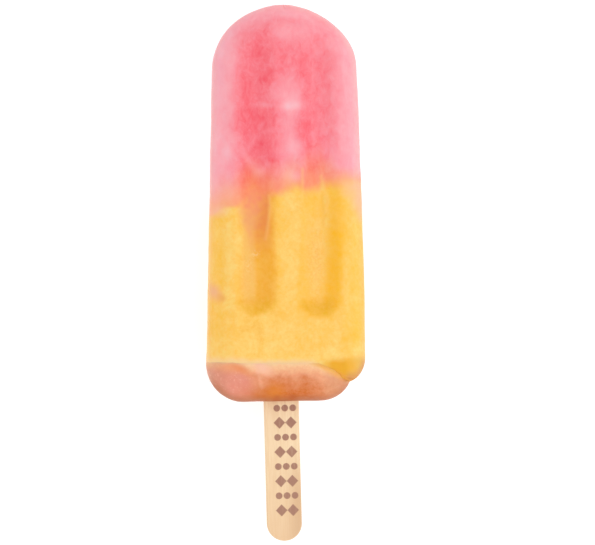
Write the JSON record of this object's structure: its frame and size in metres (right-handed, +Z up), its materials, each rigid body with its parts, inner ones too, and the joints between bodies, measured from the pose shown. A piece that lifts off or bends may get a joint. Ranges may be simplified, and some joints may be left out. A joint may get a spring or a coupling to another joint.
{
  "type": "ice lolly",
  "caption": "Fruit ice lolly in pink, yellow and peach layers, drawn in towards a round tip, with grooved faces, frozen onto a flat wooden stick.",
  "frame": {"origin": "under the middle of the object's box, on the surface that it lies on", "axes": "+Y along the lolly towards its round tip, +X across its face, +Z up out of its front face"},
  "size_m": [0.0442, 0.151, 0.024],
  "materials": {
    "pink_ice": "satin, cloudy frozen fruit ice",
    "yellow_ice": "satin, cloudy frozen fruit ice",
    "peach_ice": "satin, frosted frozen fruit ice",
    "stick_wood": "bare pale birch, with small marks branded into it"
  },
  "bodies": {
    "root": {"pink_ice": "pink_ice", "yellow_ice": "yellow_ice", "peach_ice": "peach_ice", "stick": "stick_wood"}
  },
  "joints": []
}
